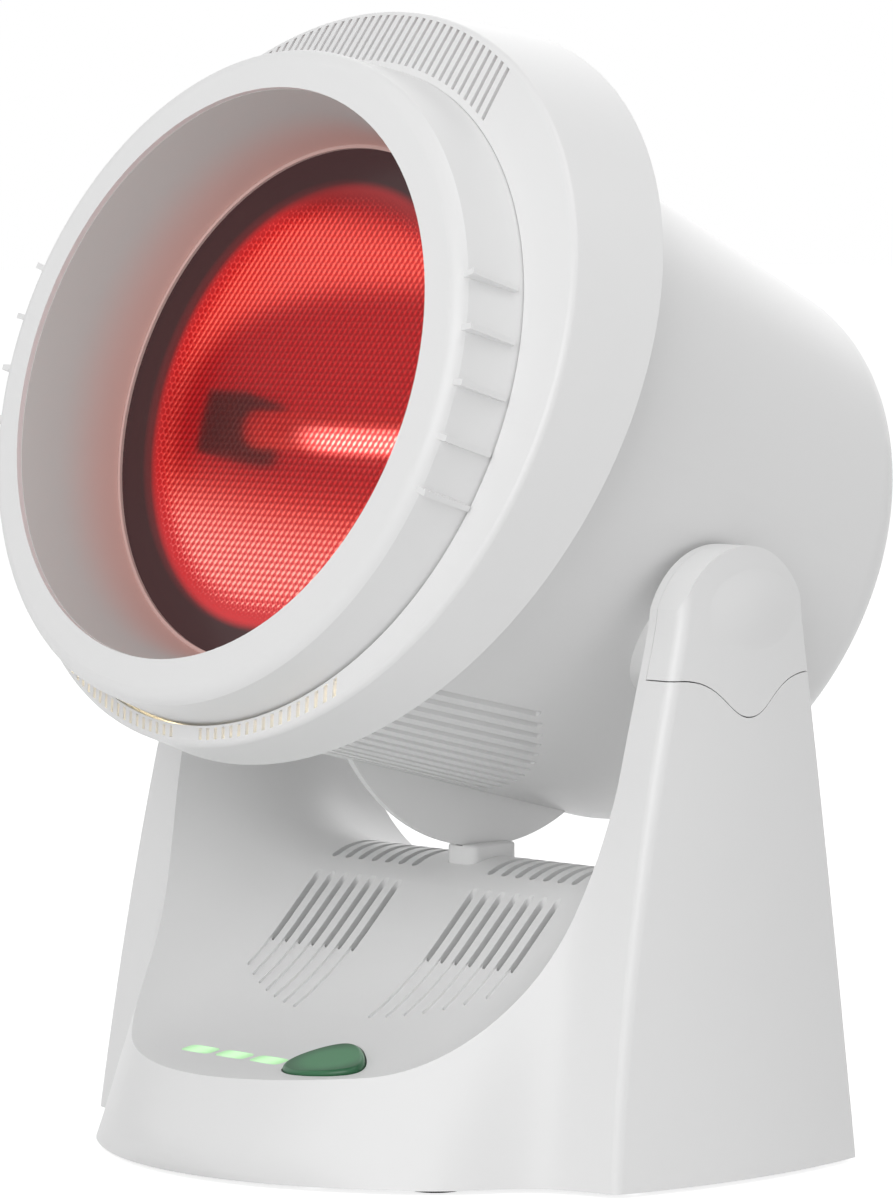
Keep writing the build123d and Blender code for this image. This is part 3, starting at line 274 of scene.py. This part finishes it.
def plastic(slot, colour, deeper, *grain_values):
    """A moulded plastic whose colour drifts between two near values."""
    tree, shader, cloud = moulded(slot, *grain_values)
    drift = mixed(tree, cloud, linear(*deeper), linear(*colour))
    tree.links.new(drift, shader.inputs["Base Color"])


print("recipe with bump strength", BUMP_STRENGTH)

# %% Plastic materials
PLASTICS = (  # slot, colour, deeper colour, roughness, grain size in mm, relief in mm
    ("housing_white", (238, 238, 238), (234, 234, 234), 0.38, 0.4, 0.006),
    ("plate_grey", (176, 178, 180), (168, 170, 172), 0.55, 0.8, 0.02),
    ("bush_white", (232, 231, 226), (224, 223, 217), 0.45, 0.4, 0.006),
    ("terminal_white", (225, 225, 221), (214, 214, 210), 0.5, 0.4, 0.006),
    ("component_black", (40, 40, 43), (30, 30, 33), 0.5, 0.4, 0.006),
    ("board_green", (26, 92, 50), (18, 76, 40), 0.35, 0.4, 0.006),
    ("foot_rubber", (62, 62, 64), (50, 50, 52), 0.8, 0.6, 0.03),
    ("gland_grey", (205, 206, 207), (196, 197, 198), 0.65, 0.6, 0.02),
    ("holder_ceramic", (96, 50, 46), (76, 38, 36), 0.7, 0.5, 0.02),
    ("seal_silicone", (226, 196, 190), (214, 180, 174), 0.25, 0.4, 0.006),
)
for row in PLASTICS:
    plastic(*row)
print("plastics:", sorted(finishes))

# %% [markdown]
# ## The start button
# The button is a darker green round its edge. Painting it would need an image. The distance
# from the button's middle gives the same rim with a few nodes, at any size of picture.

# %% Start button
RIM_START = 6 * MM
RIM_END = 13 * MM
tree, shader, _ = moulded("button_green", roughness=0.3, grain_size=0.4, relief=0.006)
button_low, button_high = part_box("start_button")
button_middle = (button_low + button_high) / 2
place = tree.nodes.new("ShaderNodeTexCoord").outputs["Object"]
away = vector_node(tree, "SUBTRACT", place, button_middle)
reach = vector_node(tree, "LENGTH", away, output="Value")
rim = fade(tree, reach, RIM_START, RIM_END)
tint = mixed(tree, rim, linear(72, 142, 96), linear(30, 92, 56))
tree.links.new(tint, shader.inputs["Base Color"])
print("button", [round(v / MM, 1) for v in button_high - button_low], "mm")

# %% [markdown]
# ## The metals
# The frame, screws and shafts are plain steel, so one recipe covers them. They are inside
# the lamp and matter from behind, through the slots, and where the head is tilted away.

# %% Metal materials
LINE_DEPTH = 0.01 * MM


def metal(slot, colour, roughness):
    """A bare metal with fine lines."""
    tree, shader = material(slot, Base_Color=colour, Metallic=1.0)
    lines = node(tree, "ShaderNodeGroup", node_tree=fine_lines)
    lines.inputs["Roughness"].default_value = roughness
    tree.links.new(lines.outputs["Roughness"], shader.inputs["Roughness"])
    bump = node(tree, "ShaderNodeBump", {"Height": lines.outputs["Height"], "Distance": LINE_DEPTH})
    tree.links.new(bump.outputs["Normal"], shader.inputs["Normal"])


metal("sheet_steel", linear(196, 198, 200), 0.35)
metal("screw_steel", linear(205, 206, 208), 0.28)
print("finishes so far:", len(finishes))

# %% [markdown]
# ## Place on the head
# The visor, the filter and the bowl behind it are round about one line. Their materials
# change with the distance from that line, so this group gives it, and how far up and how
# far forward a point lies, all in metres of the head's own directions.

# %% Node group: place on the head
tree, _, made = group("place_on_head", {}, ["Across", "Up", "Forward", "Radius"])
place = tree.nodes.new("ShaderNodeTexCoord").outputs["Object"]
from_middle = vector_node(tree, "SUBTRACT", place, in_head(0, FACE_RISE, 0))
directions = {"Across": Vector((1, 0, 0)), "Up": head_up, "Forward": head_forward}
along = {}
for socket, direction in directions.items():
    along[socket] = vector_node(tree, "DOT_PRODUCT", from_middle, direction, output="Value")
    tree.links.new(along[socket], made.inputs[socket])
flat = node(tree, "ShaderNodeCombineXYZ", {"X": along["Across"], "Y": along["Up"]})
radius = vector_node(tree, "LENGTH", flat.outputs[0], output="Value")
tree.links.new(radius, made.inputs["Radius"])
place_on_head = tree
print("group", tree.name)

# %% [markdown]
# ## The visor's inner funnel
# The funnel is a matt warm grey, darker than the white lip, and part of that darkness is
# painted shade for the deep hollow. Close to the filter it takes on a pink cast. Part of
# that is real light from the lamp. The rest is painted light in its colour, by distance
# forward, because the red light that really fills the visor would need many more light paths.

# %% Visor funnel
PINK_START = 98 * MM  # forward of the pivot
PINK_FULL = 78 * MM
tree, shader, _ = moulded("visor_grey", roughness=0.6, grain_size=0.6, relief=0.02)
head_place = node(tree, "ShaderNodeGroup", node_tree=place_on_head)
near_filter = fade(tree, head_place.outputs["Forward"], PINK_START, PINK_FULL)
# painted shade and painted light: a grey for the shaded hollow, turning pink near the filter
tint = mixed(tree, near_filter, linear(200, 202, 200), linear(222, 180, 172))
tree.links.new(tint, shader.inputs["Base Color"])
funnel_low, funnel_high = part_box("visor_liner")
print("funnel", [round(v / MM, 1) for v in funnel_high - funnel_low], "mm")

# %% [markdown]
# ## A screen of dots
# The filter's face is printed with a close screen of dots on a triangular grid. That grid
# is two stretched square grids, one shifted by half, and the nearer centre of the two
# decides. Rounding a place to the nearest whole number finds the centre, so a handful of
# Math nodes draw thousands of dots, with no mesh and no image.

# %% Node group: dot screen
GRID_STRETCH = math.sqrt(3)  # rows of a triangular grid, against its columns
tree, given, made = group(
    "dot_screen", {"Across": 0.0, "Up": 0.0, "Pitch": 0.002}, ["Distance"]
)


def grid_distance(shift):
    """Distance to the nearest centre of a stretched square grid, in pitches."""
    parts = []
    for socket, stretch in (("Across", 1.0), ("Up", GRID_STRETCH)):
        scaled = math_node(tree, "DIVIDE", given.outputs[socket], given.outputs["Pitch"])
        scaled = math_node(tree, "ADD", math_node(tree, "DIVIDE", scaled, stretch), shift)
        whole = math_node(tree, "ROUND", scaled)
        part = math_node(tree, "SUBTRACT", scaled, whole)
        parts.append(math_node(tree, "MULTIPLY", part, stretch))
    squares = [math_node(tree, "MULTIPLY", part, part) for part in parts]
    return math_node(tree, "SQRT", math_node(tree, "ADD", *squares))


nearest = math_node(tree, "MINIMUM", grid_distance(0.0), grid_distance(0.5))
tree.links.new(nearest, made.inputs["Distance"])
dot_screen = tree
print("group", tree.name)

# %% [markdown]
# ## The printed filter glass
# The filter is a red glass-ceramic disc. Its dark red dots are small in the middle and
# grow towards the edge, until they run together into a solid dark border. Light comes
# through between them, so the print sets the colour that the glass lets through. The
# border's faint veil of scattered light is written as emission, because a real one would
# need light that scatters inside the disc. The glass is a little rough, so what lies
# behind it is soft.

# %% Measures and colours of the print
DOT_PITCH = 1.97 * MM
DOT_IN_MIDDLE = 0.33  # radius of a dot, in pitches
DOT_AT_BORDER = 0.62  # here the dots close up
DOT_EDGE = 0.07  # half the width of a dot's soft edge, in pitches
BORDER_RADIUS = 58.5 * MM
BORDER_START = BORDER_RADIUS - 2 * MM
BORDER_FULL = BORDER_RADIUS + 1 * MM
GROWTH_START = BORDER_RADIUS - 10 * MM  # from here outwards the dots grow
VEIL_START = BORDER_RADIUS - 9 * MM
DOT_RED = (0.40, 0.010, 0.012, 1)
CLEAR_RED = (0.93, 0.30, 0.25, 1)
BORDER_BLACK = (0.006, 0.002, 0.002, 1)
VEIL = (0.050, 0.026, 0.027, 1)
print("dots every", DOT_PITCH / MM, "mm, border from", BORDER_RADIUS / MM, "mm")

# %% Filter glass
tree, shader = material(
    "filter_red",
    Roughness=0.2,
    Transmission_Weight=1.0,
    IOR=1.2,
    Specular_IOR_Level=0.15,
    Emission_Strength=1.0,
)
head_place = node(tree, "ShaderNodeGroup", node_tree=place_on_head)
radius = head_place.outputs["Radius"]
dots = node(tree, "ShaderNodeGroup", node_tree=dot_screen)
dots.inputs["Pitch"].default_value = DOT_PITCH
tree.links.new(head_place.outputs["Across"], dots.inputs["Across"])
tree.links.new(head_place.outputs["Up"], dots.inputs["Up"])
grown = fade(tree, radius, GROWTH_START, BORDER_RADIUS)
sizes = {"Value": grown, "To Min": DOT_IN_MIDDLE, "To Max": DOT_AT_BORDER}
dot_size = node(tree, "ShaderNodeMapRange", sizes).outputs["Result"]
outside_dot = math_node(tree, "SUBTRACT", dots.outputs["Distance"], dot_size)
screen = mixed(tree, fade(tree, outside_dot, -DOT_EDGE, DOT_EDGE), DOT_RED, CLEAR_RED)
border = fade(tree, radius, BORDER_START, BORDER_FULL)
tree.links.new(mixed(tree, border, screen, BORDER_BLACK), shader.inputs["Base Color"])
veil = mixed(tree, fade(tree, radius, VEIL_START, BORDER_RADIUS), grey(0), VEIL)
tree.links.new(veil, shader.inputs["Emission Color"])
print("filter glass with", len(tree.nodes), "nodes")

# %% [markdown]
# ## The bowl
# The lamp is lit. The bowl throws the tube's light forward in a crescent along its rim
# and, brightest of all, from below. Between them lies a dark oval, where it only mirrors
# its own back. That light is written as emission on the bowl itself, by place: it looks
# right from every side and needs no long mirror paths.

# %% Measures and colours of the glow
DARK_FORWARD = 20 * MM  # the dark oval's centre, forward of the pivot
DARK_HALF_DEPTH = 45 * MM
DARK_HALF_HEIGHT = 46 * MM
CRESCENT_START = 0.75  # squared distance from the oval's centre, in its half sizes
CRESCENT_FULL = 1.2
TOP_DARK = 60 * MM  # heights above the filter's centre; the crescent ends at the top
TOP_LIT = 50 * MM
LOW_START = -6 * MM
LOW_FULL = -30 * MM
PALE_START = -14 * MM
PALE_FULL = -36 * MM
BOWL_DARK = (0.40, 0.012, 0.035, 1)
BOWL_BRIGHT = (1.1, 0.52, 0.46, 1)
BOWL_PALE = (1.2, 1.55, 1.55, 1)
print("dark oval", 2 * DARK_HALF_DEPTH / MM, "by", 2 * DARK_HALF_HEIGHT / MM, "mm")

# %% Bowl
RIPPLE_SCALE = 260.0
RIPPLE_DEPTH = 0.3 * MM
# The bowl's dark red metal colour is painted shade: bare aluminium would mirror much more white light from
# outside.
tree, shader = material(
    "reflector_aluminium",
    Base_Color=(0.24, 0.05, 0.05, 1),
    Metallic=1.0,
    Roughness=0.35,
    Emission_Strength=1.0,
)
head_place = node(tree, "ShaderNodeGroup", node_tree=place_on_head)
up = head_place.outputs["Up"]
deep = math_node(tree, "SUBTRACT", head_place.outputs["Forward"], DARK_FORWARD)
deep = math_node(tree, "DIVIDE", deep, DARK_HALF_DEPTH)
high = math_node(tree, "DIVIDE", up, DARK_HALF_HEIGHT)
squares = [math_node(tree, "MULTIPLY", part, part) for part in (deep, high)]
crescent = fade(tree, math_node(tree, "ADD", *squares), CRESCENT_START, CRESCENT_FULL)
crescent = math_node(tree, "MULTIPLY", crescent, fade(tree, up, TOP_DARK, TOP_LIT))
glow = math_node(tree, "MAXIMUM", crescent, fade(tree, up, LOW_START, LOW_FULL))
bright = mixed(tree, glow, BOWL_DARK, BOWL_BRIGHT)
lit = mixed(tree, fade(tree, up, PALE_START, PALE_FULL), bright, BOWL_PALE)
tree.links.new(lit, shader.inputs["Emission Color"])
ripple = node(tree, "ShaderNodeTexVoronoi", {"Scale": RIPPLE_SCALE}, feature="F1")
relief = {"Height": ripple.outputs["Distance"], "Distance": RIPPLE_DEPTH}
bump = node(tree, "ShaderNodeBump", relief)
tree.links.new(bump.outputs["Normal"], shader.inputs["Normal"])
print("bowl with", len(tree.nodes), "nodes")

# %% [markdown]
# ## The burning tube
# A quartz tube lies across the bowl, and its coil burns a little below the middle. The
# coil could be a thin glowing mesh, but behind the rough filter only a soft streak is
# left of it. So the streak is emission on the tube, brightest in the middle of its
# length and of its height, and dark towards the holders.

# %% Tube
COIL_DROP = 3.2 * MM  # below the filter's centre
COIL_END = 33 * MM  # from the tube's middle, where the glow begins
COIL_FULL = 16 * MM
COIL_HALF_HEIGHT = 4.6 * MM
COIL_CORE = 0.8 * MM
TUBE_DARK = (0.16, 0.008, 0.012, 1)
COIL_LIGHT = (3.0, 2.9, 2.9, 1)
tree, shader = material(
    "quartz_tube", Roughness=0.1, Base_Color=(0.6, 0.2, 0.15, 1), Emission_Strength=1.0
)
head_place = node(tree, "ShaderNodeGroup", node_tree=place_on_head)
side = math_node(tree, "ABSOLUTE", head_place.outputs["Across"])
burning = fade(tree, side, COIL_END, COIL_FULL)
height = math_node(tree, "ADD", head_place.outputs["Up"], COIL_DROP)
core = fade(tree, math_node(tree, "ABSOLUTE", height), COIL_HALF_HEIGHT, COIL_CORE)
coil = math_node(tree, "MULTIPLY", burning, core)
tree.links.new(mixed(tree, coil, TUBE_DARK, COIL_LIGHT), shader.inputs["Emission Color"])
print("glow on", 2 * COIL_END / MM, "mm of the tube")

# %% [markdown]
# ## The lit windows
# Three diodes shine through one light guide with a milky surface. The guide glows an even
# pale green, a little brighter in the middle of each window. Three lamps behind it would
# light it as well, but they would be slow to render. A step across the guide gives the
# distance from the middle of the nearest window, and the glow follows that.

# %% Lit windows
WINDOW_PITCH = 13.2 * MM
GLOW_END = 0.42  # from a window's middle, in pitches
GLOW_FULL = 0.05
GUIDE_GLOW = (0.10, 0.26, 0.09, 1)
WINDOW_GLOW = (0.30, 0.62, 0.28, 1)
tree, shader = material(
    "window_clear", Base_Color=linear(196, 232, 190), Roughness=0.35, Emission_Strength=1.0
)
place = tree.nodes.new("ShaderNodeTexCoord").outputs["Object"]
across = node(tree, "ShaderNodeSeparateXYZ", {"Vector": place}).outputs["X"]
window_low, window_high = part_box("led_window")
middle = (window_low.x + window_high.x) / 2
step = math_node(tree, "DIVIDE", math_node(tree, "SUBTRACT", across, middle), WINDOW_PITCH)
off = math_node(tree, "SUBTRACT", step, math_node(tree, "ROUND", step))
centre_light = fade(tree, math_node(tree, "ABSOLUTE", off), GLOW_END, GLOW_FULL)
glow = mixed(tree, centre_light, GUIDE_GLOW, WINDOW_GLOW)
tree.links.new(glow, shader.inputs["Emission Color"])
print("light guide", round((window_high.x - window_low.x) / MM, 1), "mm wide")

# %% [markdown]
# ## Dressing the CAD nodes
# Each node's material slot is named in the record, so the finishes can be handed out in
# one loop. Only the material changes: the meshes stay as the CAD made them.

# %% Give every node its finish
for part in frame["record"]["subparts"]:
    shown = frame["nodes"][part["node"]]
    shown.data.materials.clear()
    shown.data.materials.append(finishes[part["material_slot"]])

# %% [markdown]
# ## Helpers for pieces
# A new piece has to lie on the CAD, so its points are found by rays that meet the CAD's
# own surface. Once its faces are made, the second helper turns it into an object.

# %% Helpers for pieces
def laid_on(cad_node, start, direction):
    """Where a ray meets a CAD node, or None."""
    hit, point, _, _ = frame["nodes"][cad_node].ray_cast(start, direction)
    return point if hit else None


def finished_piece(name, shape, slot):
    """An object from a bmesh, with its finish."""
    bmesh.ops.recalc_face_normals(shape, faces=shape.faces)
    mesh = bpy.data.meshes.new(name)
    shape.to_mesh(mesh)
    shape.free()
    mesh.materials.append(finishes[slot])
    piece = bpy.data.objects.new(name, mesh)
    bpy.context.scene.collection.objects.link(piece)
    print(name, len(mesh.polygons), "faces")
    return piece


print("helpers for pieces are ready")

# %% [markdown]
# ## Domes on the pivot caps
# The outer face of each pivot cap swells into a shallow oval dome. A squashed sphere
# would show a hard edge where it meets the cap. Instead, the dome is a grid of points in
# an oval, each laid on the cap by a ray from outside, and lifted by a rounded profile
# that starts and ends level with the cap.

# %% Measures of a dome
DOME_HALF_LENGTH = 17.0 * MM
DOME_HALF_HEIGHT = 10.5 * MM
DOME_LIFT = 1.1 * MM
DOME_ROUNDNESS = 1.5  # power of the dome's profile
DOME_BACK = 3.0 * MM  # its centre, behind the pivot and above it
DOME_RISE = 8.0 * MM
DOME_SINK = 0.03 * MM  # its edge lies just inside the cap
DOME_RINGS = 14
DOME_SPOKES = 72
RAY_START = 0.12  # clear of the lamp's side
WELD = 1e-7
print("dome", 2 * DOME_HALF_LENGTH / MM, "by", 2 * DOME_HALF_HEIGHT / MM, "mm")

# %% Cap domes
def oval_ring(shape, cad_node, side, share):
    """One ring of the dome, laid on the cap and lifted."""
    lift = DOME_LIFT * (1 - share**2) ** DOME_ROUNDNESS
    points = []
    for spoke in range(DOME_SPOKES):
        angle = math.tau * spoke / DOME_SPOKES
        y = DOME_BACK + DOME_HALF_LENGTH * share * math.cos(angle)
        z = pivot.z + DOME_RISE + DOME_HALF_HEIGHT * share * math.sin(angle)
        found = laid_on(cad_node, Vector((side * RAY_START, y, z)), Vector((-side, 0, 0)))
        if found is not None:
            points.append(shape.verts.new(found + Vector((side * (lift - DOME_SINK), 0, 0))))
    return points


def cap_dome(name, cad_node, side):
    """An oval dome on the outer face of one pivot cap."""
    shape = bmesh.new()
    rings = [oval_ring(shape, cad_node, side, n / DOME_RINGS) for n in range(DOME_RINGS + 1)]
    whole = [points for points in rings if len(points) == DOME_SPOKES]
    for inner, outer in zip(whole, whole[1:]):
        for spoke in range(DOME_SPOKES):
            after = (spoke + 1) % DOME_SPOKES
            shape.faces.new((inner[spoke], outer[spoke], outer[after], inner[after]))
    bmesh.ops.remove_doubles(shape, verts=shape.verts, dist=WELD)
    dome = finished_piece(name, shape, "housing_white")
    for face in dome.data.polygons:
        face.use_smooth = True
    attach(dome, "base")


cap_dome("cap_dome_right", "cap_right", 1)
cap_dome("cap_dome_left", "cap_left", -1)

# %% [markdown]
# ## Light behind the lower slots
# Under the lip, warm light leaks out through the two rows of slots. Real light from the
# tube would hardly find its way there in a render. A thin curved strip inside the ring,
# just behind the slots, glows cream instead. Rays from inside find the ring's inner face
# at the ribs between the slots, so the strip follows it closely.

# %% Measures and finish of the strips
SLOTS_IN_ROW = 17
SLOT_PITCH = 2.78 * MM
FIRST_RIB = 4.2 * MM  # the rib before the first slot, from the middle
STRIP_INNER = 87.9 * MM
STRIP_OUTER = 94.8 * MM
STRIP_OUTER_RISE = 43.2 * MM  # the ring's own centre lies higher than the filter's
STRIP_START = 81.0 * MM  # inside the ring, behind its face
STRIP_GAP = 0.15 * MM
STRIP_THICKNESS = 0.6 * MM
material(
    "warm_leak",
    Base_Color=linear(250, 238, 205),
    Roughness=0.6,
    Emission_Color=(1.0, 0.84, 0.55, 1),
    Emission_Strength=5.0,
)
print("each strip spans", round(SLOTS_IN_ROW * SLOT_PITCH / MM, 1), "mm")

# %% Warm strips
def rib_points(shape, across):
    """The strip's four corners at one rib: inner front and back, outer front and back."""
    corners = []
    for radius, centre in ((STRIP_INNER, FACE_RISE), (STRIP_OUTER, STRIP_OUTER_RISE)):
        rise = centre - math.sqrt(radius**2 - across**2)
        found = laid_on("head_ring", in_head(across, rise, STRIP_START), head_forward)
        for depth in (STRIP_GAP, STRIP_GAP + STRIP_THICKNESS):
            corners.append(shape.verts.new(found - head_forward * depth))
    return corners


def warm_strip(name, side):
    """A glowing strip behind one row of slots."""
    shape = bmesh.new()
    ribs = [
        rib_points(shape, side * (FIRST_RIB + number * SLOT_PITCH))
        for number in range(SLOTS_IN_ROW + 1)
    ]
    for near, far in zip(ribs, ribs[1:]):
        for one, other in ((0, 2), (2, 3), (3, 1), (1, 0)):
            shape.faces.new((near[one], near[other], far[other], far[one]))
    first, last = ribs[0], ribs[-1]
    shape.faces.new((first[0], first[1], first[3], first[2]))
    shape.faces.new((last[0], last[2], last[3], last[1]))
    strip = finished_piece(name, shape, "warm_leak")
    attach(strip, "head")


warm_strip("warm_strip_right", 1)
warm_strip("warm_strip_left", -1)

# %% [markdown]
# ## The floor
# A plain pale floor carries the lamp's soft shade. Its white is its own colour and glow
# where the camera, a reflection or a view through glass sees it, and not more light on
# the lamp. To every other ray it is a plain pale floor that throws back some light.

# %% Floor
FLOOR_SIZE = 30.0
FLOOR_COLOUR = 0.85
FLOOR_SEEN_COLOUR = 0.50
FLOOR_SEEN_GLOW = 0.83


def seen_directly(tree):
    """1 where the camera, a reflection or a view through glass sees the surface."""
    path = tree.nodes.new("ShaderNodeLightPath")
    seen = math_node(tree, "MAXIMUM", path.outputs["Is Camera Ray"], path.outputs["Is Glossy Ray"])
    return math_node(tree, "MAXIMUM", seen, path.outputs["Is Transmission Ray"])


bpy.ops.mesh.primitive_plane_add(size=FLOOR_SIZE, location=(0, 0, 0))
floor = bpy.context.object
floor.name = "floor"
tree, shader = material("floor_white", Roughness=0.9, Emission_Strength=1.0)
seen = seen_directly(tree)
colour = mixed(tree, seen, grey(FLOOR_COLOUR), grey(FLOOR_SEEN_COLOUR))
tree.links.new(colour, shader.inputs["Base Color"])
glow = mixed(tree, seen, grey(0), grey(FLOOR_SEEN_GLOW))
tree.links.new(glow, shader.inputs["Emission Color"])
floor.data.materials.append(finishes["floor_white"])
print("floor", FLOOR_SIZE, "m wide")

# %% [markdown]
# ## The world
# A white surround fills the shade evenly. It is plain white where it is seen, and gives
# only about a third of that as light, so that the lamps still shape the form.

# %% World
WORLD_LIGHT = 0.36
world = bpy.data.worlds.new("studio")
bpy.context.scene.world = world
world.use_nodes = True
tree = world.node_tree
background = tree.nodes["Background"]
light = {"Value": seen_directly(tree), "To Min": WORLD_LIGHT, "To Max": 1.0}
strength = node(tree, "ShaderNodeMapRange", light)
background.inputs["Color"].default_value = grey(1)
tree.links.new(strength.outputs["Result"], background.inputs["Strength"])
print("world light", WORLD_LIGHT)

# %% [markdown]
# ## The lamps
# Soft light from large lamps shows the form without hard shadows. The key stands in
# front, between the way that the heat lamp faces and the camera. A weak lamp fills from
# the left, one lights the top, and one keeps the back from going dull.

# %% Lamps
LIT_POINT = Vector((0, 0, 0.15))


def soft_lamp(name, place, size, power):
    """A square area lamp that looks at the middle of the heat lamp, in metres and watts."""
    data = bpy.data.lights.new(name, "AREA")
    data.size = size
    data.energy = power
    lamp = bpy.data.objects.new(name, data)
    bpy.context.scene.collection.objects.link(lamp)
    lamp.location = place
    lamp.rotation_mode = "QUATERNION"
    lamp.rotation_quaternion = (LIT_POINT - Vector(place)).to_track_quat("-Z", "Y")
    print(name, power, "W")


soft_lamp("key", (0.9, -1.6, 1.0), size=1.4, power=17)
soft_lamp("side", (-1.5, -0.9, 1.0), size=1.4, power=3)
soft_lamp("top", (0.7, 0.4, 1.8), size=1.2, power=8)
soft_lamp("back", (-0.9, 1.6, 1.0), size=1.4, power=6)
